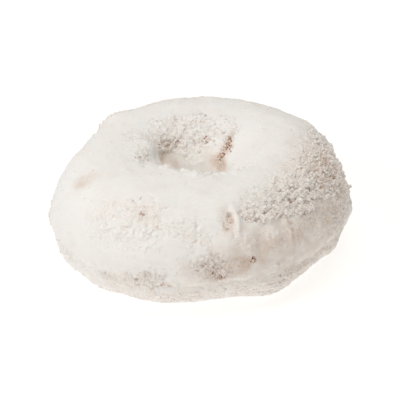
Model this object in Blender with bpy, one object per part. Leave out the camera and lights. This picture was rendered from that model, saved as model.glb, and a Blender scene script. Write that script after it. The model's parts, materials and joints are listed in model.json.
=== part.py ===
# Powdered mini doughnut: one cake ring, uneven as a fried ring is, resting on a flat underside.
# Metres, +Z up. The origin is under the middle of the ring, on the surface it rests on.
# The ring is worked out over two angles in degrees: around (0 at +X, 90 at +Y) and over the
# tube of the ring (0 at the outer side, 90 on top, 180 in the hole, -90 underneath).

import math

import bpy
from mathutils import Vector, noise

MM = 0.001

# Main sizes of the ring
OUTER_DIAMETER = 56.0 * MM
HEIGHT = 21.4 * MM
HOLE_DIAMETER = 9.0 * MM
WIDEST_HEIGHT = 9.8 * MM

# The hole sits a little off the middle of the outline
HOLE_OFFSET = Vector((-0.6 * MM, 1.5 * MM))

# Squareness of the tube's section: 2 is an ellipse, more is fuller
TOP_FULLNESS = 2.25
UNDER_FULLNESS = 2.0
HOLE_FULLNESS = 2.0

# The outline is longest from front left to back right
OVAL_SHARE = 0.032
OVAL_DIRECTION = 43.0

# The underside is pressed flat up to this height, and what is nearly flat is made quite flat
FLAT_PRESS = 0.45 * MM
FLAT_SNAP = 0.03 * MM
UNDERSIDE_OVER = -90.0
UNDERSIDE_SPREAD = 38.0
UNDERSIDE_RELIEF = 0.25

# Broad dents and swells: (around, over, half width around, half width over, height)
SWELLS = (
    (158.0, 35.0, 22.0, 40.0, -1.9 * MM),
    (171.0, 14.0, 12.0, 18.0, -1.2 * MM),
    (137.0, 50.0, 4.5, 20.0, 0.8 * MM),
    (118.0, 55.0, 9.0, 22.0, -0.5 * MM),
    (34.0, 45.0, 10.0, 22.0, 0.35 * MM),
    (12.0, 20.0, 12.0, 40.0, -0.5 * MM),
    (-3.0, -6.0, 6.0, 14.0, 0.6 * MM),
    (-82.0, -50.0, 18.0, 30.0, -1.0 * MM),
    (-54.0, -48.0, 7.0, 25.0, 0.6 * MM),
    (-30.0, -35.0, 10.0, 30.0, -0.3 * MM),
    (-20.0, -28.0, 6.0, 14.0, 0.5 * MM),
    (-142.0, -30.0, 22.0, 30.0, 0.3 * MM),
    (-116.0, -55.0, 14.0, 20.0, -0.4 * MM),
    (-128.0, 136.0, 25.0, 35.0, 1.3 * MM),
    (-90.0, 122.0, 30.0, 20.0, 1.1 * MM),
    (-38.0, 125.0, 14.0, 20.0, -0.3 * MM),
    (172.0, 119.0, 17.0, 13.0, 1.4 * MM),
    (174.0, 127.0, 13.0, 6.0, 0.7 * MM),
    (-85.0, 40.0, 7.0, 10.0, -0.4 * MM),
    (152.0, 150.0, 17.0, 13.0, -1.3 * MM),
    (90.0, 164.0, 32.0, 20.0, 1.6 * MM),
)

# Patches of rough crust: (around, over, half width around, half width over, strength)
ROUGH_PATCHES = (
    (-62.0, 49.0, 16.0, 11.0, 1.0),
    (-32.0, 50.0, 20.0, 16.0, 1.0),
    (-4.0, 48.0, 14.0, 20.0, 0.9),
    (88.0, 125.0, 55.0, 22.0, 0.7),
    (168.0, 122.0, 14.0, 14.0, 0.6),
    (-82.0, 5.0, 20.0, 13.0, 0.7),
    (-122.0, -4.0, 28.0, 9.0, 0.5),
    (-116.0, 52.0, 18.0, 18.0, 0.35),
    (118.0, 22.0, 26.0, 16.0, 0.7),
    (62.0, 8.0, 18.0, 14.0, 0.5),
    (-172.0, -2.0, 24.0, 12.0, 0.5),
    (30.0, -50.0, 30.0, 16.0, 0.5),
    (-150.0, -48.0, 30.0, 14.0, 0.4),
)

# Rough crust stands a little proud, in lumps of about this size
CRUST_RISE = 0.1 * MM
CRUST_LUMP = 2.1 * MM
CRUST_DEPTH = 0.34 * MM
CRUST_SEED = Vector((3.1, 7.7, 1.3))

# Unevenness of the whole ring: (wavelength, height)
UNEVENNESS = ((12.0 * MM, 0.32 * MM), (5.0 * MM, 0.16 * MM))

# The waist is where the two fried halves of the ring meet, a shallow crease low on the side
WAIST_OVER = -9.0
WAIST_WANDER = 5.0
WAIST_SPREAD = 6.5
WAIST_DEPTH = 0.5 * MM
WAIST_WAVE = 13.0 * MM
WAIST_FAINTEST = 0.25

# Folds of the front right side, running down from the rough crust to the waist
FOLD_MIDDLE = -58.0
FOLD_SPREAD = 24.0
FOLD_TURN = 10.5
FOLD_OVER = 25.0
FOLD_LENGTH = 17.0
FOLD_HEIGHT = 0.2 * MM

# The sharp rib at the near end of the rough crust, with a hollow beside it
RIB = (-73.5, 50.0, 2.0, 9.0, 0.45 * MM)
RIB_HOLLOW = (-78.0, 54.0, 2.6, 7.0, -0.45 * MM)

# The plain torus that gives the grid of faces, any size, and how the grid is thinned out
GRID_RING_RADIUS = 2.0
GRID_TUBE_RADIUS = 1.0
SEGMENTS_AROUND = 256
SEGMENTS_OVER = 132
MOST_TRIANGLES = 11400


def wrapped(angle):
    # An angle between -180 and 180 degrees
    return (angle + 180.0) % 360.0 - 180.0


def bump(offset, half_width):
    return math.exp(-((offset / half_width) ** 2))


def patch(around, over, middle, level, wide, tall, height):
    # A smooth rise or dent of the given height, oval on the surface
    return height * bump(wrapped(around - middle), wide) * bump(wrapped(over - level), tall)


def section_point(around, over):
    # The smooth ring before any relief
    turn, tilt = math.radians(around), math.radians(over)
    outwards = Vector((math.cos(turn), math.sin(turn)))
    oval = OVAL_SHARE * math.cos(2.0 * math.radians(around - OVAL_DIRECTION))
    outer = outwards * (OUTER_DIAMETER / 2.0 * (1.0 + oval))
    inner = outwards * (HOLE_DIAMETER / 2.0) + HOLE_OFFSET
    across, up = math.cos(tilt), math.sin(tilt)
    beside = TOP_FULLNESS if across > 0.0 else HOLE_FULLNESS
    above = TOP_FULLNESS if up > 0.0 else UNDER_FULLNESS
    share = 0.5 + 0.5 * math.copysign(abs(across) ** (2.0 / beside), across)
    flat = inner.lerp(outer, share)
    reach = HEIGHT - WIDEST_HEIGHT if up > 0.0 else WIDEST_HEIGHT + FLAT_PRESS
    height = WIDEST_HEIGHT + reach * math.copysign(abs(up) ** (2.0 / above), up)
    return Vector((flat.x, flat.y, height))


def crust_height(place, roughness):
    # Rounded lumps with narrow gaps between them, as dried crust has
    distances, _ = noise.voronoi(place / CRUST_LUMP + CRUST_SEED)
    return roughness * (CRUST_RISE + CRUST_DEPTH * (distances[1] - distances[0]))


def waist_height(place, around, over):
    wander = WAIST_WANDER * noise.noise(place / WAIST_WAVE)
    deepest = bump(wrapped(around - FOLD_MIDDLE), 2.0 * FOLD_SPREAD)
    strength = WAIST_FAINTEST + (1.0 - WAIST_FAINTEST) * deepest
    return -WAIST_DEPTH * strength * bump(wrapped(over - WAIST_OVER - wander), WAIST_SPREAD)


def fold_height(around, over):
    where = wrapped(around - FOLD_MIDDLE)
    wave = math.cos(2.0 * math.pi * where / FOLD_TURN)
    folds = FOLD_HEIGHT * wave * bump(where, FOLD_SPREAD) * bump(over - FOLD_OVER, FOLD_LENGTH)
    return folds + patch(around, over, *RIB) + patch(around, over, *RIB_HOLLOW)


def relief_height(place, around, over):
    swell = sum(patch(around, over, *each) for each in SWELLS)
    roughness = min(1.0, sum(patch(around, over, *each) for each in ROUGH_PATCHES))
    uneven = sum(height * noise.noise(place / wave) for wave, height in UNEVENNESS)
    fine = uneven + crust_height(place, roughness)
    fine += waist_height(place, around, over) + fold_height(around, over)
    pressed = bump(wrapped(over - UNDERSIDE_OVER), UNDERSIDE_SPREAD)
    return swell + fine * (1.0 - (1.0 - UNDERSIDE_RELIEF) * pressed)


def make_ring():
    bpy.ops.mesh.primitive_torus_add(
        major_segments=SEGMENTS_AROUND,
        minor_segments=SEGMENTS_OVER,
        major_radius=GRID_RING_RADIUS,
        minor_radius=GRID_TUBE_RADIUS,
    )
    ring = bpy.context.object
    ring.name = ring.data.name = "doughnut"
    angles = []
    for vertex in ring.data.vertices:
        beyond = math.hypot(vertex.co.x, vertex.co.y) - GRID_RING_RADIUS
        around = math.degrees(math.atan2(vertex.co.y, vertex.co.x))
        over = math.degrees(math.atan2(vertex.co.z, beyond))
        angles.append((around, over))
        vertex.co = section_point(around, over)
    ring.data.update()
    normals = [vertex.normal.copy() for vertex in ring.data.vertices]
    for vertex, normal, (around, over) in zip(ring.data.vertices, normals, angles):
        vertex.co += normal * relief_height(vertex.co, around, over)
        vertex.co.z = max(vertex.co.z, 0.0)
    return ring


def thin_out(ring):
    # Keeps the small faces where the crust is rough, and leaves large ones where it is smooth
    thinning = ring.modifiers.new("thinning", "DECIMATE")
    thinning.ratio = MOST_TRIANGLES / (2 * SEGMENTS_AROUND * SEGMENTS_OVER)
    bpy.ops.object.modifier_apply(modifier=thinning.name)


def settle(ring):
    # Puts the origin under the middle of the outline, and makes the resting face quite flat
    places = [vertex.co for vertex in ring.data.vertices]
    middle = Vector((
        (min(place.x for place in places) + max(place.x for place in places)) / 2.0,
        (min(place.y for place in places) + max(place.y for place in places)) / 2.0,
        0.0,
    ))
    for vertex in ring.data.vertices:
        vertex.co -= middle
        if vertex.co.z < FLAT_SNAP:
            vertex.co.z = 0.0


def powder_material():
    # Powdered sugar on a fried crust: matt warm white
    material = bpy.data.materials.new("powdered sugar")
    material.use_nodes = True
    shader = material.node_tree.nodes["Principled BSDF"]
    shader.inputs["Base Color"].default_value = (0.82, 0.79, 0.75, 1.0)
    shader.inputs["Roughness"].default_value = 0.95
    shader.inputs["Metallic"].default_value = 0.0
    return material


def main():
    for old in list(bpy.data.objects):
        bpy.data.objects.remove(old)
    ring = make_ring()
    thin_out(ring)
    settle(ring)
    ring.data.shade_smooth()
    ring.data.materials.append(powder_material())


main()
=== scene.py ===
import json
import math

import bpy
import numpy as np
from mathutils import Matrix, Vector, noise

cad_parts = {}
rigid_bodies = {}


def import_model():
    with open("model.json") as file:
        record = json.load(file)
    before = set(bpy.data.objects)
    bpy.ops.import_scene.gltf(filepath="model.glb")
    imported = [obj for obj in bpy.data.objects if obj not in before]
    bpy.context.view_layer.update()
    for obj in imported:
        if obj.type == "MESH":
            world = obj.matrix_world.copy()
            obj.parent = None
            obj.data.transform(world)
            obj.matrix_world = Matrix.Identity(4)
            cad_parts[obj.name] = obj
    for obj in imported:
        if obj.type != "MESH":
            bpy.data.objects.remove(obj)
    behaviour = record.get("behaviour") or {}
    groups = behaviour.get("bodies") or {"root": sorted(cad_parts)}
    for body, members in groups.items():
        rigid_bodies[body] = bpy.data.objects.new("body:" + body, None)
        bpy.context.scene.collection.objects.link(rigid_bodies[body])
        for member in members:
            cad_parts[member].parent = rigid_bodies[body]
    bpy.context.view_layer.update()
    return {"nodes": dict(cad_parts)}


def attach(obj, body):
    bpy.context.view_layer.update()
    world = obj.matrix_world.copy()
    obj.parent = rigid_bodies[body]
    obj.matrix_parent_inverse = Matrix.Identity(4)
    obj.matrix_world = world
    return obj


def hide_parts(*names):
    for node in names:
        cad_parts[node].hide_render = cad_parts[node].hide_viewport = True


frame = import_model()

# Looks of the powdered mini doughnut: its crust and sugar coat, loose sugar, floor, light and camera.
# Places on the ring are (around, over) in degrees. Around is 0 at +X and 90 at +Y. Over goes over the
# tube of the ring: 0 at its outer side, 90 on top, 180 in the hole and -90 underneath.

mm = 0.001  # in metres

# the plain ring that places are measured on, in mm
ring = {"tubeMiddle": 16.5, "widestHeight": 9.8, "tubeRadius": 11.5}


# Small helpers

def pickOnly(piece):
    bpy.ops.object.select_all(action="DESELECT")
    piece.select_set(True)
    bpy.context.view_layer.objects.active = piece


def addModifier(piece, name, kind, **settings):
    modifier = piece.modifiers.new(name, kind)
    for key, value in settings.items():
        setattr(modifier, key, value)
    return modifier


def applyModifiers(piece):
    pickOnly(piece)
    for modifier in list(piece.modifiers):
        bpy.ops.object.modifier_apply(modifier=modifier.name)


def addNode(tree, kind, inputs=None, **settings):
    # one node with its settings; an input is a value, or the socket that it is linked to
    node = tree.nodes.new(kind)
    for key, value in settings.items():
        setattr(node, key, value)
    for key, value in (inputs or {}).items():
        if isinstance(value, bpy.types.NodeSocket):
            tree.links.new(value, node.inputs[key])
        else:
            node.inputs[key].default_value = value
    return node


def hexToLinear(hexColour):
    # an sRGB colour such as #FFFFFF as linear red, green, blue and alpha
    channels = [int(hexColour[start:start + 2], 16) / 255 for start in (1, 3, 5)]
    linear = [c / 12.92 if c <= 0.04045 else ((c + 0.055) / 1.055) ** 2.4 for c in channels]
    return (*linear, 1.0)


def readPlaces(piece):
    # every vertex of the piece, in mm
    places = np.empty(len(piece.data.vertices) * 3)
    piece.data.vertices.foreach_get("co", places)
    return places.reshape(-1, 3) / mm


def readNormals(piece):
    normals = np.empty(len(piece.data.vertices) * 3)
    piece.data.vertices.foreach_get("normal", normals)
    return normals.reshape(-1, 3)


def writePlaces(piece, places):
    piece.data.vertices.foreach_set("co", (places * mm).ravel())
    piece.data.update()


def readNoise(places, wavelength, seed=0.0):
    # smooth noise from -1 to 1
    offset = Vector((seed, 2.0 * seed, 3.0 * seed))
    return np.array([noise.noise(Vector(place) / wavelength + offset) for place in places])


def wrapped(angle):
    return (angle + 180.0) % 360.0 - 180.0


def ringAngles(places):
    reach = np.hypot(places[:, 0], places[:, 1])
    around = np.degrees(np.arctan2(places[:, 1], places[:, 0]))
    over = np.degrees(np.arctan2(places[:, 2] - ring["widestHeight"], reach - ring["tubeMiddle"]))
    return around, over, reach


def patchSum(places, patches):
    # each patch is (around, over, half width in mm, half height in mm, strength)
    around, over, reach = ringAngles(places)
    total = np.zeros(len(places))
    for middle, level, wide, tall, strength in patches:
        sideways = np.radians(wrapped(around - middle)) * reach
        upwards = np.radians(wrapped(over - level)) * ring["tubeRadius"]
        total += strength * np.exp(-(sideways / wide) ** 2 - (upwards / tall) ** 2)
    return total


def limited(values):
    return np.clip(values, 0.0, 1.0)


def smoothStep(values, low, high):
    share = limited((values - low) / (high - low))
    return share * share * (3.0 - 2.0 * share)


def cellChance(centre, spread=7.0):
    # the random number from 0 to 1 that belongs to one cell of a pattern of cells
    return noise.cell(spread * centre)


def addGroup(piece, name, weights):
    group = piece.vertex_groups.new(name=name)
    for index, weight in enumerate(weights):
        group.add((index,), float(weight), "REPLACE")


def addAttribute(piece, name, values):
    attribute = piece.data.attributes.new(name, "FLOAT", "POINT")
    attribute.data.foreach_set("value", np.asarray(values, dtype=np.float32))


# Where the crust and the sugar differ from place to place

# the belt of crumbly crust at the front right: rows of (around, lower edge, upper edge, strength)
belt = (
    (-76.0, 55.0, 62.0, 0.0),
    (-72.0, 53.0, 68.0, 0.7),
    (-65.0, 47.0, 78.0, 1.0),
    (-59.6, 45.0, 83.0, 1.0),
    (-55.3, 46.0, 85.0, 1.0),
    (-49.7, 45.0, 85.0, 1.0),
    (-46.0, 41.0, 85.0, 1.0),
    (-41.0, 37.0, 85.0, 1.0),
    (-36.0, 37.0, 85.0, 1.0),
    (-30.0, 40.0, 86.0, 1.0),
    (-19.0, 32.0, 86.0, 1.0),
    (-5.0, 32.0, 84.0, 1.0),
    (9.0, 34.0, 77.0, 1.0),
    (22.0, 36.0, 68.0, 0.8),
    (34.0, 52.0, 60.0, 0.0),
)

# how the belt ends: raggedness and the fade of its lower edge in degrees, and other fades as shares
# of the way from its lower edge to its upper one
beltEdge = {
    "raggedBelow": 6.0, "fadeBelow": (-0.5, 1.5), "raggedAbove": 0.35,
    "crustFade": (0.60, 1.10), "specksFade": (0.8, 1.5),
}

# the belt is softest at its near end and finest at its far end, in degrees around
beltParts = {"ragged": 12.0, "softEnds": (-62.0, -44.0), "fineStarts": (-34.0, -16.0)}

# each patch: (around, over, half width in mm, half height in mm, strength)
zones = {
    # the largest crumbs
    "chunky": (
        (-42.0, 46.0, 3.4, 2.8, 1.0),
        (-59.0, 53.0, 3.6, 1.8, 0.9),
        (120.0, 20.0, 5.0, 2.6, 0.7),
        (26.0, -48.0, 6.0, 2.4, 0.7),
    ),
    # coarse crumbs, at the far end of the belt and in patches elsewhere
    "coarse": (
        (20.0, 34.0, 6.0, 5.0, 0.9),
        (7.0, 16.0, 4.0, 6.0, 0.8),
        (133.0, 54.0, 4.0, 2.6, 0.7),
        (148.0, 44.0, 3.0, 2.0, 0.6),
        (118.0, 20.0, 8.0, 3.6, 0.9),
        (62.0, 6.0, 7.0, 2.6, 0.8),
        (-176.0, -6.0, 7.0, 2.2, 0.7),
        (30.0, -48.0, 8.0, 2.6, 0.8),
    ),
    # fine crumbs
    "grainy": (
        (-83.0, 9.0, 4.6, 3.4, 0.8),
        (-78.6, 53.0, 1.5, 2.6, 1.0),
        (-90.0, 14.0, 5.0, 3.0, 0.5),
        (-108.0, 1.0, 3.6, 2.4, 0.9),
        (-122.0, -6.0, 6.0, 2.0, 0.6),
        (-146.0, -6.0, 6.0, 1.8, 0.6),
        (-118.0, 56.0, 4.0, 2.6, 0.5),
        (-98.0, 42.0, 3.0, 2.4, 0.45),
        (-156.0, 55.0, 2.4, 2.2, 0.5),
        (50.0, 152.0, 2.6, 2.0, 0.45),
        (-168.0, 116.0, 2.6, 2.4, 0.8),
        (160.0, 96.0, 3.0, 2.0, 0.5),
        (138.0, 130.0, 2.6, 2.4, 0.9),
        (95.0, 132.0, 5.0, 2.2, 0.5),
        (54.0, 136.0, 1.4, 3.4, 0.9),
        (110.0, 58.0, 8.0, 3.0, 0.4),
        (60.0, 55.0, 10.0, 3.0, 0.4),
        (178.0, 4.0, 4.0, 8.0, 0.5),
        (0.0, 30.0, 7.0, 8.0, 1.0),
        (18.0, 34.0, 6.0, 6.0, 0.7),
        (-20.0, 12.0, 6.0, 4.0, 0.6),
        (-55.0, 2.0, 6.0, 2.4, 0.6),
        (60.0, -20.0, 10.0, 4.0, 0.5),
        (150.0, 40.0, 7.0, 5.0, 0.6),
        (96.0, 56.0, 6.0, 4.0, 0.5),
    ),
    # dimpled sugar, most of it at the front left
    "dimpled": (
        (-112.0, 50.0, 10.0, 5.4, 0.9),
        (-88.0, 36.0, 4.0, 4.0, 0.5),
        (-130.0, 30.0, 8.0, 5.0, 0.5),
        (105.0, 147.0, 3.0, 2.2, 0.9),
        (-30.0, 98.0, 6.0, 4.0, 0.4),
        (30.0, 96.0, 6.0, 4.0, 0.4),
        (-178.0, 60.0, 6.0, 6.0, 0.4),
    ),
    # the lumpy rim behind the hole, where sugar has run down in drips
    "rim": (
        (100.0, 118.0, 4.4, 4.6, 1.1),
        (66.0, 116.0, 3.6, 3.6, 0.9),
        (132.0, 114.0, 3.8, 4.2, 1.0),
        (165.0, 106.0, 3.0, 3.0, 0.7),
        (112.0, 142.0, 2.4, 1.8, 0.45),
        (-178.0, 118.0, 2.6, 2.2, 0.6),
    ),
    # the uneven near lip of the hole
    "lip": (
        (-95.0, 124.0, 7.5, 3.0, 1.0),
        (-150.0, 124.0, 3.4, 3.2, 1.0),
        (-176.0, 122.0, 2.4, 2.4, 0.6),
        (-35.0, 128.0, 3.0, 3.0, 0.8),
    ),
    # dry grainy sugar on the lower half
    "dry": (
        (-115.0, -24.0, 22.0, 4.4, 1.0),
        (-60.0, -30.0, 14.0, 4.4, 1.0),
        (-5.0, -30.0, 16.0, 5.0, 0.9),
        (60.0, -24.0, 18.0, 5.0, 0.9),
        (120.0, -24.0, 18.0, 5.0, 0.9),
        (-175.0, -24.0, 16.0, 5.0, 0.9),
    ),
    # sugar that has slid down in soft drips under the belt
    "drips": (
        (-52.0, 28.0, 7.0, 3.2, 1.0),
        (-30.0, 24.0, 5.0, 3.6, 0.8),
        (-12.0, 12.0, 9.0, 7.0, 1.0),
        (-74.0, 34.0, 3.0, 2.6, 0.6),
        (110.0, 0.0, 12.0, 3.0, 0.5),
    ),
}

# how the zones end: noise makes their edges ragged, each (strength, wavelength in mm, seed)
zoneEdge = {
    "coarseNoise": (0.35, 2.4, 1.0), "fineNoise": (0.35, 0.8, 6.0),
    "ragged": 1.3, "fade": (0.25, 0.95),
}

# heights in mm between which the relief grows to its full strength, and the broad relief's least share
restingFace = {"fade": (0.4, 2.5), "least": 0.25}


def beltWeight(around, over, ragged, fade):
    # full just above the lower edge, and thinning out between two shares of the way to the upper one
    rows = np.array(belt)
    lower, upper, strength = (np.interp(around, rows[:, 0], rows[:, column]) for column in (1, 2, 3))
    share = (over - lower) / (upper - lower) + beltEdge["raggedAbove"] * ragged
    risen = smoothStep(over - lower + beltEdge["raggedBelow"] * ragged, *beltEdge["fadeBelow"])
    return strength * risen * (1.0 - smoothStep(share, *fade))


def waveNoise(places, settings):
    strength, wavelength, seed = settings
    return strength * readNoise(places, wavelength, seed)


def zoneWeights(places):
    # every zone's weight at every vertex, with ragged edges, and fading out towards the resting face
    around, over, _ = ringAngles(places)
    ragged = waveNoise(places, zoneEdge["coarseNoise"]) + waveNoise(places, zoneEdge["fineNoise"])
    above = smoothStep(places[:, 2], *restingFace["fade"])
    weights = {"all": restingFace["least"] + (1.0 - restingFace["least"]) * above}
    weights["belt"] = beltWeight(around, over, ragged, beltEdge["crustFade"]) * above
    weights["beltSpecks"] = beltWeight(around, over, ragged, beltEdge["specksFade"]) * above
    along = around + beltParts["ragged"] * ragged
    soft = 1.0 - smoothStep(along, *beltParts["softEnds"])
    fine = smoothStep(along, *beltParts["fineStarts"])
    weights["beltSoft"] = weights["belt"] * soft
    weights["beltFine"] = weights["belt"] * fine
    weights["beltCrisp"] = weights["belt"] * (1.0 - soft - fine)
    for name, patches in zones.items():
        strength = patchSum(places, patches) * (1.0 + zoneEdge["ragged"] * ragged)
        weights[name] = smoothStep(strength, *zoneEdge["fade"]) * above
    return weights


# The skin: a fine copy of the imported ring, with its crumbs, pits, drips and ledges

# sizes in mm
skinSettings = {
    "weld": 0.001,
    "voxel": 0.18,
    "smoothFactor": 0.5,
    "smoothPasses": 10,
    "lowest": 0.0,
    "mostTriangles": 196000,
}

# soft relief from Blender's textures: (kind, settings, vertex group, height in mm)
softReliefs = {
    "broadSwell": ("CLOUDS", {"noise_scale": 4.5 * mm, "noise_depth": 1}, "all", 0.45),
    "softLumps": ("CLOUDS", {"noise_scale": 1.6 * mm, "noise_depth": 1}, "uneven", 0.34),
    "crags": ("CLOUDS", {"noise_scale": 2.2 * mm, "noise_depth": 1}, "belt", 0.4),
}

# the zones where the soft lumps are highest, and their share of that height everywhere else
unevenZones = ("belt", "coarse", "grainy", "rim", "lip", "drips")
evenShare = 0.3

# crumbs: (zone, crumb size in mm, height in mm, seed)
crumbs = (
    ("chunky", 1.8, 0.80, 3.0),
    ("beltSoft", 1.2, 0.62, 4.0),
    ("beltSoft", 0.62, 0.28, 5.0),
    ("beltCrisp", 1.1, 0.70, 6.0),
    ("beltCrisp", 0.58, 0.36, 7.0),
    ("beltFine", 0.85, 0.55, 17.0),
    ("beltFine", 0.50, 0.40, 18.0),
    ("coarse", 1.0, 0.55, 8.0),
    ("coarse", 0.55, 0.34, 9.0),
    ("grainy", 0.75, 0.20, 10.0),
    ("grainy", 0.45, 0.38, 11.0),
    ("rim", 0.90, 0.18, 12.0),
    ("rim", 0.48, 0.20, 13.0),
    ("lip", 1.8, 0.60, 14.0),
    ("lip", 0.80, 0.26, 24.0),
    ("dry", 0.60, 0.18, 15.0),
    ("drips", 0.60, 0.26, 16.0),
    ("dimpled", 1.1, 0.26, 19.0),
    ("dimpled", 0.50, 0.28, 20.0),
)

# a crumb's form: how its cells bend, how far it reaches and how flat its top is, the height of the
# lowest crumbs and what is added by chance, how far the zone is sunk, the least weight with crumbs
crumbForm = {
    "bend": 0.2, "bendScale": 1.3, "reach": 0.9, "power": 2.6,
    "lowest": 0.45, "range": 0.55, "sunk": 0.35, "leastWeight": 0.02,
}

# drips down the surface, and streaks along it:
# (zone, width in mm, length down the surface in mm, height in mm, seed)
drips = (
    ("drips", 2.1, 7.0, 0.70, 21.0),
    ("drips", 0.9, 5.0, 0.38, 22.0),
    ("rim", 1.3, 3.0, 0.08, 23.0),
    ("dry", 7.0, 0.9, 0.16, 24.0),
)
dripWander = {"share": 0.5, "wavelength": 3.0}  # share of a drip's width, mm

# ledges, where crust stands proud above an uneven line with a crack under it:
# the line in rows of (around, over, strength), and sizes in mm
ledges = {
    "belt": {
        "line": (
            (-73.0, 52.0, 0.0), (-70.0, 50.0, 0.6), (-65.0, 46.0, 1.0), (-59.6, 43.3, 1.0),
            (-55.3, 46.0, 0.8), (-49.7, 47.0, 0.7), (-46.0, 42.3, 1.0), (-41.0, 37.5, 1.0),
            (-36.0, 37.5, 1.0), (-30.0, 41.0, 0.4), (-19.0, 36.0, 0.2), (-5.0, 38.0, 0.0),
        ),
        "rise": 0.32, "fade": 3.2, "wander": 0.9, "sharp": 0.45,
        "crackWide": 0.2, "crackDeep": 0.05,
    },
    "waist": {
        "line": (
            (-180.0, -9.0, 0.4), (-140.0, -8.0, 0.5), (-115.0, -8.0, 0.8), (-103.0, -8.5, 1.0),
            (-92.0, -7.0, 0.8), (-77.0, -1.0, 0.7), (-66.0, -8.0, 0.8), (-57.0, -12.0, 1.0),
            (-38.0, -14.0, 0.7), (-20.0, -12.0, 0.4), (40.0, -9.0, 0.5), (110.0, -10.0, 0.3),
            (180.0, -9.0, 0.4),
        ),
        "rise": 0.20, "fade": 2.0, "wander": 1.0, "sharp": 0.6,
        "crackWide": 0.3, "crackDeep": 0.06,
    },
}

# the noise that makes a ledge wander and breaks it up, each (strength, wavelength in mm, seed)
ledgeNoise = {
    "coarse": (1.0, 1.6, 31.0), "fine": (0.6, 0.6, 32.0),
    "breaks": (1.0, 3.0, 41.0), "breakFade": (-0.35, 0.2),
}

# single folds: (around, over, half width in mm, half height in mm, height in mm)
skinFolds = (
    (-74.0, 52.0, 0.50, 2.8, 0.60),
    (-76.4, 56.0, 0.35, 2.0, -0.45),
    (-79.6, 49.0, 0.25, 1.4, -0.15),
    (-91.5, 46.0, 0.50, 2.6, -0.22),
    (-78.0, 17.0, 2.60, 0.3, -0.16),
    (-108.0, 14.0, 3.20, 0.3, -0.16),
    (-52.0, 31.0, 0.42, 2.6, 0.40),
    (-56.0, 31.0, 0.60, 2.2, -0.30),
    (-61.0, 33.6, 0.90, 2.2, 0.22),
    (-65.8, 28.0, 0.90, 2.4, -0.28),
    (-128.0, 52.0, 0.25, 2.6, -0.14),
    (-44.4, 57.0, 0.40, 1.2, -0.45),
    (-44.1, 49.0, 0.35, 1.3, -0.45),
    (-40.6, 50.0, 0.50, 1.8, 0.50),
    (-38.3, 49.0, 0.25, 1.8, -0.35),
    (-35.5, 47.0, 0.55, 2.0, 0.50),
    (-37.7, 39.0, 0.40, 0.8, 0.35),
    (163.0, 132.0, 0.35, 2.4, 0.35),
    (-137.0, 122.0, 1.50, 1.5, 0.30),
    (-113.0, 122.0, 0.70, 1.2, -0.30),
    (-97.0, 122.0, 0.90, 1.5, 0.25),
    (-66.0, 122.0, 0.70, 1.2, -0.25),
    (-51.0, 122.0, 0.80, 1.5, 0.25),
    (-70.0, 8.0, 1.6, 1.6, -0.25),
)

# porous spots, where small pits show the fried crust:
# (around, over, half width in mm, half height in mm, brownness)
porousSpots = (
    (-69.7, 13.3, 0.80, 1.0, 1.0),
    (-74.0, 13.0, 1.6, 0.7, 0.4),
    (-82.0, 0.3, 1.1, 0.7, 0.9),
    (-86.0, 8.0, 1.6, 1.8, 0.35),
    (-102.7, -6.7, 1.4, 0.7, 0.7),
    (-56.2, -20.7, 1.0, 0.7, 0.8),
    (-57.5, -13.0, 1.8, 0.5, 0.5),
    (55.5, 128.0, 0.5, 1.4, 0.9),
    (50.0, 133.0, 0.7, 1.2, 0.9),
    (53.5, 140.0, 0.7, 1.2, 1.0),
    (43.0, 136.0, 0.5, 1.2, 0.6),
    (56.0, 146.0, 0.7, 0.7, 1.0),
    (83.0, 130.5, 0.9, 0.9, 0.85),
    (86.0, 133.5, 0.5, 0.5, 0.8),
    (73.3, 119.5, 0.7, 0.6, 0.55),
    (114.4, 129.0, 0.6, 0.6, 0.6),
    (120.0, 131.0, 0.8, 0.8, 0.5),
    (128.0, 129.0, 1.2, 0.8, 0.5),
    (89.3, 138.7, 0.4, 0.6, 0.5),
    (-174.0, 119.0, 0.9, 0.8, 0.4),
    (-160.0, 112.0, 0.9, 0.5, 0.4),
    (170.0, 89.5, 0.4, 0.4, 0.6),
    (158.0, 97.0, 0.7, 0.5, 0.4),
    (-123.8, 63.7, 0.35, 0.4, 0.6),
    (-121.0, 68.0, 0.25, 0.7, 0.5),
    (-116.4, 60.7, 0.35, 0.35, 0.6),
    (-116.2, 53.5, 0.5, 0.4, 0.7),
    (-108.0, 44.0, 0.35, 0.5, 0.5),
    (-159.2, 54.2, 0.5, 0.8, 0.4),
    # partly painted shade: brown specks where the ridge's shadow falls in the hollow left of it
    (-77.8, 54.0, 0.8, 1.6, 0.25),
    (-114.0, 52.0, 6.0, 3.2, 0.2),
    (-68.9, 52.0, 0.8, 0.8, 0.7),
    (-43.9, 56.0, 0.5, 0.6, 0.6),
    (-43.0, 48.8, 0.4, 0.8, 0.5),
    (-90.0, 34.0, 0.3, 0.5, 0.6),
    (-38.3, 29.1, 0.7, 0.6, 0.5),
    (-11.1, 41.3, 0.6, 0.9, 0.7),
    (-21.8, 47.3, 1.4, 1.4, 0.55),
    (-4.0, 50.0, 2.4, 2.2, 0.5),
    (-155.8, -6.0, 0.6, 0.5, 0.4),
    (20.0, 20.0, 1.6, 1.0, 0.7),
    (86.0, 14.0, 1.6, 1.2, 0.8),
    (128.0, 30.0, 1.2, 1.0, 0.7),
    (166.0, 4.0, 1.2, 0.8, 0.7),
    (98.0, -16.0, 1.4, 0.8, 0.7),
    (34.0, -30.0, 1.4, 0.8, 0.7),
)

# pits, sizes in mm: leastBrown is the least brownness that has any, and fullShare the share of the
# cells that have one where the brownness is full
pits = {
    "apart": 0.42, "radius": (0.13, 0.26), "depth": (0.15, 0.45),
    "leastBrown": 0.15, "fullShare": 0.9, "seed": 4, "radiusSpread": 11.0,
}
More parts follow.
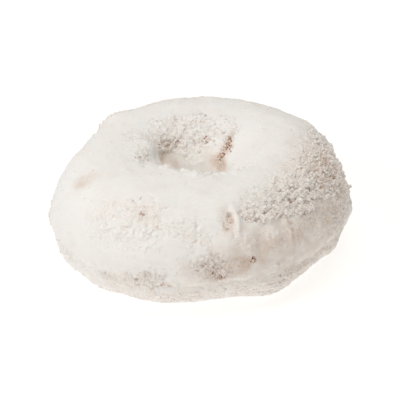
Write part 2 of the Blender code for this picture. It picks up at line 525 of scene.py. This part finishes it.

# thin sugar, where the crust tints it, and painted shade in the same warm tan on some shaded places:
# (around, over, half width in mm, half height in mm, strength)
thinSugarAndShadePatches = (
    # painted warm shade with thin sugar: the lower front-right side, turned away from the key light
    (-62.0, 20.0, 9.0, 6.0, 0.55),
    (-30.0, 20.0, 9.0, 8.0, 0.55),
    (-8.0, 52.0, 7.0, 5.0, 1.0),
    (-84.0, 6.0, 6.0, 3.0, 0.35),
    (-73.0, 12.0, 4.0, 2.0, 0.40),
    # painted shade: the shadow in the hollow left of the ridge
    (-78.2, 54.0, 0.9, 2.3, 0.65),
    (-115.0, -8.0, 10.0, 4.0, 0.20),
    (-40.0, -22.0, 9.0, 4.0, 0.35),
    (-90.0, -28.0, 16.0, 3.0, 0.30),
    (-156.0, 55.0, 2.0, 2.2, 0.65),
    (-114.0, 54.0, 7.0, 3.2, 0.16),
    (54.0, 136.0, 0.9, 2.6, 0.60),
    (60.0, 151.0, 2.0, 1.6, 0.80),
    (42.0, 154.0, 1.8, 1.2, 0.85),
    # painted shade with thin sugar: the hollow at the left of the hole, facing away from the key light
    (146.0, 141.0, 1.5, 2.4, 0.80),
    (131.0, 150.0, 0.8, 1.5, 0.70),
    (134.0, 130.0, 1.2, 1.4, 0.50),
    (118.0, 20.0, 9.0, 5.0, 0.4),
    (40.0, 5.0, 9.0, 5.0, 0.35),
    (170.0, -10.0, 9.0, 4.0, 0.35),
)


def crumbHeights(places, weights, size, seed):
    # rounded crumbs with gaps between them, each of its own height from 0 to 1, where the zone is
    heights = np.zeros(len(places))
    offset = Vector((seed, -seed, 2.0 * seed))
    for index in np.flatnonzero(weights > crumbForm["leastWeight"]):
        spot = Vector(places[index]) / size + offset
        spot += crumbForm["bend"] * noise.noise_vector(crumbForm["bendScale"] * spot)
        distances, centres = noise.voronoi(spot)
        rounded = max(0.0, 1.0 - (distances[0] / crumbForm["reach"]) ** crumbForm["power"])
        heights[index] = rounded * (crumbForm["lowest"] + crumbForm["range"] * cellChance(centres[0]))
    return heights * weights


def dripHeights(places, wide, tall, seed):
    # noise drawn out down the surface or along it
    around, over, _ = ringAngles(places)
    wave = dripWander["share"] * readNoise(places, dripWander["wavelength"], seed + 1.0)
    sideways = np.radians(around) * (ring["tubeMiddle"] + ring["tubeRadius"]) / wide + wave
    downwards = np.radians(over) * ring["tubeRadius"] / tall
    spots = np.column_stack((sideways, downwards, np.zeros(len(places))))
    return readNoise(spots, 1.0, seed)


def ledgeHeights(places, ledge, ragged, broken):
    # a step up above the line that fades out higher up, and a crack just below it
    around, over, _ = ringAngles(places)
    rows = np.array(ledge["line"])
    edge = np.interp(around, rows[:, 0], rows[:, 1])
    above = np.radians(over - edge) * ring["tubeRadius"] + ledge["wander"] * ragged
    step = smoothStep(above, 0.0, ledge["sharp"]) * np.exp(-np.maximum(above, 0.0) / ledge["fade"])
    crack = np.exp(-((above + 0.5 * ledge["sharp"]) / ledge["crackWide"]) ** 2)
    strength = np.interp(around, rows[:, 0], rows[:, 2]) * broken
    return strength * (ledge["rise"] * step - ledge["crackDeep"] * crack)


def pitHeights(places, porous):
    # small round pits scattered over the porous spots, more and deeper where the spot is browner
    depths = np.zeros(len(places))
    smallest, largest = pits["radius"]
    shallow, deep = pits["depth"]
    offset = Vector((pits["seed"],) * 3)
    for index in np.flatnonzero(porous > pits["leastBrown"]):
        distances, centres = noise.voronoi(Vector(places[index]) / pits["apart"] + offset)
        chance = cellChance(centres[0])
        if chance > pits["fullShare"] * porous[index]:
            continue
        radius = smallest + (largest - smallest) * cellChance(centres[0], pits["radiusSpread"])
        share = math.exp(-((distances[0] * pits["apart"] / radius) ** 2))
        depths[index] = (shallow + (deep - shallow) * chance) * share
    return -depths


def smoothed(piece, values, passes):
    # values averaged over neighbouring vertices
    edges = np.empty(len(piece.data.edges) * 2, dtype=np.int64)
    piece.data.edges.foreach_get("vertices", edges)
    ends = edges.reshape(-1, 2)
    count = len(values)
    degree = np.bincount(edges, minlength=count)[:, None]
    for _ in range(passes):
        total = np.zeros_like(values)
        for axis in range(values.shape[1]):
            total[:, axis] += np.bincount(ends[:, 0], values[ends[:, 1], axis], count)
            total[:, axis] += np.bincount(ends[:, 1], values[ends[:, 0], axis], count)
        values = total / degree
    return values


def makeSkinGrid():
    cadRing = frame["nodes"]["doughnut"]
    skin = cadRing.copy()
    skin.data = cadRing.data.copy()
    skin.parent = None
    skin.name = skin.data.name = "sugaredSkin"
    for key in list(skin.keys()):
        del skin[key]
    bpy.context.scene.collection.objects.link(skin)
    pickOnly(skin)
    bpy.ops.object.mode_set(mode="EDIT")
    bpy.ops.mesh.select_all(action="SELECT")
    bpy.ops.mesh.remove_doubles(threshold=skinSettings["weld"] * mm)
    bpy.ops.object.mode_set(mode="OBJECT")
    addModifier(skin, "fineGrid", "REMESH", mode="VOXEL", voxel_size=skinSettings["voxel"] * mm)
    addModifier(
        skin, "facetsOff", "SMOOTH",
        factor=skinSettings["smoothFactor"], iterations=skinSettings["smoothPasses"],
    )
    applyModifiers(skin)
    print("skin grid:", len(skin.data.vertices), "vertices")
    return skin


def makeSkin():
    skin = makeSkinGrid()
    places = readPlaces(skin)
    weights = zoneWeights(places)
    lumpy = evenShare + sum(weights[name] for name in unevenZones)
    weights["uneven"] = weights["all"] * limited(lumpy)
    for name in sorted({group for _, _, group, _ in softReliefs.values()}):
        addGroup(skin, name, weights[name])
    for name, (kind, settings, group, height) in softReliefs.items():
        texture = bpy.data.textures.new(name, kind)
        for key, value in settings.items():
            setattr(texture, key, value)
        addModifier(
            skin, name, "DISPLACE", texture=texture, texture_coords="LOCAL",
            vertex_group=group, strength=height * mm, mid_level=0.5,
        )
    applyModifiers(skin)
    print("soft relief done")

    ragged = waveNoise(places, ledgeNoise["coarse"]) + waveNoise(places, ledgeNoise["fine"])
    broken = smoothStep(waveNoise(places, ledgeNoise["breaks"]), *ledgeNoise["breakFade"])
    raised = patchSum(places, skinFolds)
    for ledge in ledges.values():
        raised += ledgeHeights(places, ledge, ragged, broken)
    for zone, wide, tall, height, seed in drips:
        raised += height * weights[zone] * dripHeights(places, wide, tall, seed)
    for zone, size, height, seed in crumbs:
        stands = crumbHeights(places, weights[zone], size, seed) - crumbForm["sunk"] * weights[zone]
        raised += height * stands
    porous = limited(patchSum(places, porousSpots))
    raised += pitHeights(places, porous)
    moved = readPlaces(skin) + readNormals(skin) * raised[:, None]
    moved[:, 2] = np.maximum(moved[:, 2], skinSettings["lowest"])
    writePlaces(skin, moved)
    print("crumbs, drips, ledges and pits done")

    paintSkin(skin, places, weights, porous)
    triangles = 2 * len(skin.data.polygons)
    share = min(1.0, skinSettings["mostTriangles"] / triangles)
    addModifier(skin, "thinning", "DECIMATE", ratio=share)
    applyModifiers(skin)
    skin.vertex_groups.clear()
    skin.data.shade_smooth()
    print("skin:", sum(len(face.vertices) - 2 for face in skin.data.polygons), "triangles")
    return skin


# how much each zone counts towards what the skin's material and the loose sugar read
zoneShares = {
    "crumbly": {"belt": 1.0, "beltSoft": -0.4, "coarse": 1.0, "grainy": 0.8, "rim": 0.5},
    "quieter": {"dimpled": 0.3, "dry": 0.35, "lip": 0.4, "drips": 0.5, "beltSpecks": 0.8},
    "clumps": {"beltSoft": 0.35, "beltCrisp": 1.0, "beltFine": 0.7, "coarse": 1.0, "rim": 0.12},
}

# the least of each, away from those zones, and how much dry sugar counts towards the grains
leastShares = {"gritty": 0.15, "gapCrustAndShade": 0.12, "grains": 0.02, "dust": 0.15}
dryGrains = 0.4

# a hollow is measured against the surface smoothed this many times, and is full at this depth in mm;
# hollows get painted shade mixed with crust colour
hollows = {"passes": 14, "depth": 0.16}

# loose sugar starts between these heights in mm, and leaves this share of the porous spots bare
looseSugar = {"starts": (0.3, 0.8), "bareSpots": 0.8}


def mixedZones(weights, kind):
    return sum(share * weights[name] for name, share in zoneShares[kind].items())


def paintSkin(skin, places, weights, porous):
    # attributes that the skin's material and the loose sugar read
    moved = readPlaces(skin)
    level = smoothed(skin, moved, hollows["passes"])
    hollow = limited(((level - moved) * readNormals(skin)).sum(axis=1) / hollows["depth"])
    crumbly = limited(mixedZones(weights, "crumbly"))
    gritty = limited(leastShares["gritty"] + crumbly + mixedZones(weights, "quieter"))
    grains = leastShares["grains"] + crumbly + dryGrains * weights["dry"]
    clear = smoothStep(places[:, 2], *looseSugar["starts"]) * (1.0 - looseSugar["bareSpots"] * porous)
    attributes = {
        # painted shade with crust colour: darker where the surface lies below its smoothed level, most
        # in crumbly zones
        "gapCrustAndShade": hollow * (leastShares["gapCrustAndShade"] + (1.0 - leastShares["gapCrustAndShade"]) * crumbly),
        "porous": porous,
        "thinSugarAndShade": limited(patchSum(places, thinSugarAndShadePatches)),
        "gritty": gritty,
        "clumpShare": clear * limited(mixedZones(weights, "clumps")),
        "grainShare": clear * limited(grains),
        "dustShare": clear * limited(leastShares["dust"] + gritty),
    }
    for name, values in attributes.items():
        addAttribute(skin, name, values)


# Materials

# what both kinds of sugar have in common: quite matt
mattSugar = {"Roughness": 0.95, "Specular IOR Level": 0.15}

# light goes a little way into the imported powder
softPowder = {
    "Subsurface Weight": 0.3, "Subsurface Radius": (1.0, 0.88, 0.75), "Subsurface Scale": 0.4 * mm,
}

# the gap colour is painted shade mixed with crust colour, laid in hollows
powderColours = {
    # the thin colour is thin sugar's tan tint, also laid as painted shade on shaded places
    "sugar": "#FAF8F5", "thinSugarAndShade": "#E2D1C4", "gapCrustAndShade": "#B99E90", "crust": "#C9A189", "burnt": "#7C4B36",
}

# patterns in the powder: (wavelength in mm, detail, roughness)
powderNoises = {
    "patches": (2.4, 3.0, 0.5),
    "mottle": (4.0, 3.0, 0.5),
    "specks": (0.42, 2.0, 0.6),
    "dots": (0.40, 1.0, 0.5),
    "fineGrit": (0.26, 1.0, 0.5),
    "coarseGrit": (0.7, 2.0, 0.5),
}

# a value between the first two numbers becomes one between the last two
powderRanges = {
    "patches": (0.35, 0.65, 0.5, 1.2),
    "mottle": (0.48, 0.72, 0.0, 0.16),
    "specks": (0.52, 0.64, 0.0, 1.0),
    "speckled": (0.0, 1.0, 0.0, 0.6),
    "specksInGaps": (0.35, 0.65, 0.5, 1.3),
    "tintAndShade": (0.0, 1.0, 0.0, 1.0),
    "gapCrustAndShade": (0.3, 1.2, 0.0, 1.0),
    "specksOnCrust": (0.40, 0.60, 0.1, 1.0),
    "crust": (0.15, 1.2, 0.0, 1.0),
    "dots": (0.54, 0.62, 0.0, 1.0),
    "burnt": (0.2, 0.8, 0.0, 1.0),
    "gritStrength": (0.0, 1.0, 0.18, 1.0),
}

# how much the painted shade and crust colour of the gaps also adds the tan tint, and coarse grit beside
# fine grit; the depth of the grit in mm
powderShares = {"gapShadeAsTint": 0.7, "coarseGrit": 0.8}
gritDepth = 0.16


def makeMaterial(name, finish):
    # a material with constant values on its own shader
    material = bpy.data.materials.new(name)
    material.use_nodes = True
    shader = material.node_tree.nodes["Principled BSDF"]
    for key, value in finish.items():
        shader.inputs[key].default_value = value
    return material, material.node_tree, shader


def makePowderMaterial():
    # powdered sugar, dusted and a little caked over a fried crust: matt white, warm and tan where thin,
    # with painted shade: tan-grey in hollows and the same warm tan on some shaded places
    material, tree, shader = makeMaterial("dustedPowderedSugar", {**mattSugar, **softPowder})
    colours = {name: hexToLinear(colour) for name, colour in powderColours.items()}
    place = addNode(tree, "ShaderNodeTexCoord").outputs["Object"]

    def readAttribute(name):
        return addNode(tree, "ShaderNodeAttribute", attribute_name=name).outputs["Fac"]

    def pattern(name):
        wavelength, detail, roughness = powderNoises[name]
        scale = 1.0 / (wavelength * mm)
        inputs = {"Vector": place, "Scale": scale, "Detail": detail, "Roughness": roughness}
        return addNode(tree, "ShaderNodeTexNoise", inputs).outputs["Fac"]

    def mapped(value, name):
        inputs = dict(enumerate((value, *powderRanges[name])))
        return addNode(tree, "ShaderNodeMapRange", inputs).outputs[0]

    def combined(operation, first, second):
        return addNode(tree, "ShaderNodeMath", {0: first, 1: second}, operation=operation).outputs[0]

    def blend(factor, first, second):
        inputs = {0: factor, 6: first, 7: second}
        return addNode(tree, "ShaderNodeMix", inputs, data_type="RGBA").outputs[2]

    gritty = readAttribute("gritty")
    porous = readAttribute("porous")
    specks = pattern("specks")
    patchy = mapped(pattern("patches"), "patches")
    speckled = mapped(combined("MULTIPLY", mapped(specks, "specks"), gritty), "speckled")
    # the tan tint of thin sugar, also laid as painted shade on shaded places
    thinSugarAndShade = combined("MULTIPLY", readAttribute("thinSugarAndShade"), patchy)
    thinSugarAndShade = combined("ADD", mapped(pattern("mottle"), "mottle"), thinSugarAndShade)
    # painted shade with crust colour in the hollows, broken up by specks
    gapCrustAndShade = combined("MULTIPLY", readAttribute("gapCrustAndShade"), mapped(specks, "specksInGaps"))
    gapShadeTint = combined("MULTIPLY", gapCrustAndShade, powderShares["gapShadeAsTint"])
    tintAndShade = combined("ADD", thinSugarAndShade, combined("ADD", speckled, gapShadeTint))
    crust = combined("MULTIPLY", porous, mapped(specks, "specksOnCrust"))
    burnt = combined("MULTIPLY", porous, mapped(pattern("dots"), "dots"))
    colour = blend(mapped(tintAndShade, "tintAndShade"), colours["sugar"], colours["thinSugarAndShade"])
    colour = blend(mapped(gapCrustAndShade, "gapCrustAndShade"), colour, colours["gapCrustAndShade"])
    colour = blend(mapped(crust, "crust"), colour, colours["crust"])
    colour = blend(mapped(burnt, "burnt"), colour, colours["burnt"])
    tree.links.new(colour, shader.inputs["Base Color"])
    coarse = combined("MULTIPLY", pattern("coarseGrit"), powderShares["coarseGrit"])
    relief = {
        "Height": combined("ADD", pattern("fineGrit"), coarse),
        "Strength": mapped(gritty, "gritStrength"),
        "Distance": gritDepth * mm,
    }
    bump = addNode(tree, "ShaderNodeBump", relief)
    tree.links.new(bump.outputs["Normal"], shader.inputs["Normal"])
    return material


grainColours = {"white": "#FBFAF8", "warm": "#EAE1DA"}
grainPatches = 0.9  # wavelength in mm


def makeGrainMaterial():
    # loose and clumped powdered sugar: matt white, some clumps a shade greyer or warmer than others
    material, tree, shader = makeMaterial("looseSugarClumps", mattSugar)
    place = addNode(tree, "ShaderNodeTexCoord").outputs["Object"]
    scale = 1.0 / (grainPatches * mm)
    patchy = addNode(tree, "ShaderNodeTexNoise", {"Vector": place, "Scale": scale}).outputs["Fac"]
    white, warm = hexToLinear(grainColours["white"]), hexToLinear(grainColours["warm"])
    colour = addNode(tree, "ShaderNodeMix", {0: patchy, 6: white, 7: warm}, data_type="RGBA").outputs[2]
    tree.links.new(colour, shader.inputs["Base Color"])
    return material


# Loose sugar

# shares are the skin's attributes; apart is in mm, most is for each square mm, size is the radius in mm
grainKinds = {
    # clumps that cling to the crumbly crust
    "sugarClumps": {
        "share": "clumpShare", "apart": 0.40, "most": 6.0, "size": (0.18, 0.48),
        "segments": (7, 4), "seed": 11,
    },
    # single grains, mostly on the crumbly crust
    "sugarGrains": {
        "share": "grainShare", "apart": 0.26, "most": 7.0, "size": (0.09, 0.22),
        "segments": (5, 3), "seed": 12,
    },
    # dust, everywhere but on the resting face
    "sugarDust": {
        "share": "dustShare", "apart": 0.17, "most": 5.0, "size": (0.05, 0.13),
        "segments": (3, 3), "seed": 13,
    },
}

# each kind has four lumps, each wider and thicker than the last, and more small ones than large ones
lumpForm = {
    "count": 4, "uneven": 0.28, "evenShare": 0.6,
    "width": 0.8, "wider": 0.08, "thickness": 0.7, "thicker": 0.05, "skew": 2.0,
}


def makeGrainShapes(name, settings):
    # uneven lumps about 1 unit in radius, of 12 to 42 triangles each
    shapes = bpy.data.collections.new(name + "Shapes")
    across, rings = settings["segments"]
    for turn in range(lumpForm["count"]):
        bpy.ops.mesh.primitive_uv_sphere_add(segments=across, ring_count=rings, radius=1.0)
        lump = bpy.context.object
        lump.name = f"{name}Shape{turn}"
        bpy.ops.object.mode_set(mode="EDIT")
        bpy.ops.mesh.select_all(action="SELECT")
        bpy.ops.transform.vertex_random(
            offset=lumpForm["uneven"], uniform=lumpForm["evenShare"], seed=settings["seed"] + turn
        )
        width = lumpForm["width"] + lumpForm["wider"] * turn
        thickness = lumpForm["thickness"] + lumpForm["thicker"] * turn
        bpy.ops.transform.resize(value=(1.0, width, thickness))
        bpy.ops.object.mode_set(mode="OBJECT")
        for holder in list(lump.users_collection):
            holder.objects.unlink(lump)
        shapes.objects.link(lump)
    return shapes


def scatterGrains(name, settings, skin, material):
    # one piece of lumps scattered over the skin, as densely as the skin's attribute says
    shapes = makeGrainShapes(name, settings)
    piece = bpy.data.objects.new(name, bpy.data.meshes.new(name))
    bpy.context.scene.collection.objects.link(piece)
    tree = bpy.data.node_groups.new(name + "Scatter", "GeometryNodeTree")
    tree.interface.new_socket("Geometry", in_out="OUTPUT", socket_type="NodeSocketGeometry")
    surface = addNode(tree, "GeometryNodeObjectInfo", {"Object": skin}).outputs["Geometry"]
    share = addNode(
        tree, "GeometryNodeInputNamedAttribute", {"Name": settings["share"]}, data_type="FLOAT"
    ).outputs["Attribute"]
    density = {
        "Mesh": surface, "Density Factor": share, "Seed": settings["seed"],
        "Distance Min": settings["apart"] * mm, "Density Max": settings["most"] / mm ** 2,
    }
    spread = addNode(
        tree, "GeometryNodeDistributePointsOnFaces", density, distribute_method="POISSON"
    ).outputs["Points"]
    sizeSeed = {"Seed": settings["seed"] + 1}
    chance = addNode(tree, "FunctionNodeRandomValue", sizeSeed, data_type="FLOAT").outputs[1]
    skew = {0: chance, 1: lumpForm["skew"]}
    skewed = addNode(tree, "ShaderNodeMath", skew, operation="POWER").outputs[0]
    smallest, largest = settings["size"]
    sizes = {0: skewed, 3: smallest * mm, 4: largest * mm}
    size = addNode(tree, "ShaderNodeMapRange", sizes).outputs[0]
    whole = {"Collection": shapes, "Separate Children": True, "Reset Children": True}
    lumps = addNode(tree, "GeometryNodeCollectionInfo", whole).outputs[0]
    anyTurn = {"Max": (2.0 * math.pi,) * 3, "Seed": settings["seed"] + 2}
    spin = addNode(tree, "FunctionNodeRandomValue", anyTurn, data_type="FLOAT_VECTOR").outputs[0]
    copies = {
        "Points": spread, "Instance": lumps, "Pick Instance": True, "Rotation": spin, "Scale": size,
    }
    placed = addNode(tree, "GeometryNodeInstanceOnPoints", copies).outputs[0]
    real = addNode(tree, "GeometryNodeRealizeInstances", {"Geometry": placed}).outputs[0]
    addNode(tree, "NodeGroupOutput", {"Geometry": real})
    addModifier(piece, "scatter", "NODES", node_group=tree)
    applyModifiers(piece)
    for lump in list(shapes.objects):
        bpy.data.objects.remove(lump)
    bpy.data.collections.remove(shapes)
    piece.data.materials.clear()
    piece.data.materials.append(material)
    triangles = sum(len(face.vertices) - 2 for face in piece.data.polygons)
    print(name + ":", triangles, "triangles")
    return piece


# Floor, light and camera

floorShape = {"radius": 1.2, "vertices": 96}  # radius in metres
floorFinish = {
    "Base Color": hexToLinear("#B6B6B6"), "Roughness": 1.0, "Specular IOR Level": 0.0,
    "Emission Color": hexToLinear("#FFFDFA"), "Emission Strength": 0.68,
}


def makeFloor():
    bpy.ops.mesh.primitive_circle_add(fill_type="NGON", location=(0.0, 0.0, 0.0), **floorShape)
    floor = bpy.context.object
    floor.name = "paleFloor"
    # white acrylic light table, as for cut-out photographs: matt white, and lit faintly from below
    material, _, _ = makeMaterial("whiteAcrylicLightTable", floorFinish)
    floor.data.materials.append(material)


# name: (direction the light comes from, distance in metres, side in metres, watts, colour)
lights = {
    "keyLeft": ((-0.78, -0.44, 0.55), 0.9, 0.5, 2.15, "#FFFFFF"),
    "topSoft": ((0.0, -0.08, 1.0), 1.0, 0.9, 6.5, "#FFFEFB"),
}
surround = {"colour": "#FFF9F1", "strength": 0.21}


def makeLights():
    for name, (direction, distance, side, watts, colour) in lights.items():
        data = bpy.data.lights.new(name, "AREA")
        data.size = side
        data.energy = watts
        data.color = hexToLinear(colour)[:3]
        lamp = bpy.data.objects.new(name, data)
        lamp.location = Vector(direction).normalized() * distance
        lamp.rotation_euler = (-lamp.location).to_track_quat("-Z", "Y").to_euler()
        bpy.context.scene.collection.objects.link(lamp)
    world = bpy.data.worlds.new("softSurround")
    world.use_nodes = True
    background = world.node_tree.nodes["Background"]
    background.inputs["Color"].default_value = hexToLinear(surround["colour"])
    background.inputs["Strength"].default_value = surround["strength"]
    bpy.context.scene.world = world
    bpy.context.scene.view_settings.view_transform = "Standard"


# degrees, metres, and mm for the target, lens and sensor
camera = {
    "elevation": 30.0, "distance": 0.5, "clipStart": 0.01,
    "target": (-0.1, 0.0, 10.2), "lens": 239.4, "sensor": 36.0,
}


def makeCamera():
    tilt = math.radians(camera["elevation"])
    data = bpy.data.cameras.new("photoCamera")
    data.lens = camera["lens"]
    data.sensor_width = camera["sensor"]
    data.clip_start = camera["clipStart"]
    watcher = bpy.data.objects.new("photoCamera", data)
    target = Vector(camera["target"]) * mm
    watcher.location = target + Vector((0.0, -math.cos(tilt), math.sin(tilt))) * camera["distance"]
    watcher.rotation_euler = (math.pi / 2.0 - tilt, 0.0, 0.0)
    bpy.context.scene.collection.objects.link(watcher)
    bpy.context.scene.camera = watcher


makeCamera()
makeLights()
makeFloor()
skin = makeSkin()
skin.data.materials.clear()
skin.data.materials.append(makePowderMaterial())
pieces = [skin]
grainMaterial = makeGrainMaterial()
for name, settings in grainKinds.items():
    pieces.append(scatterGrains(name, settings, skin, grainMaterial))
for piece in pieces:
    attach(piece, "root")
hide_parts("doughnut")
print("pieces:", len(pieces))
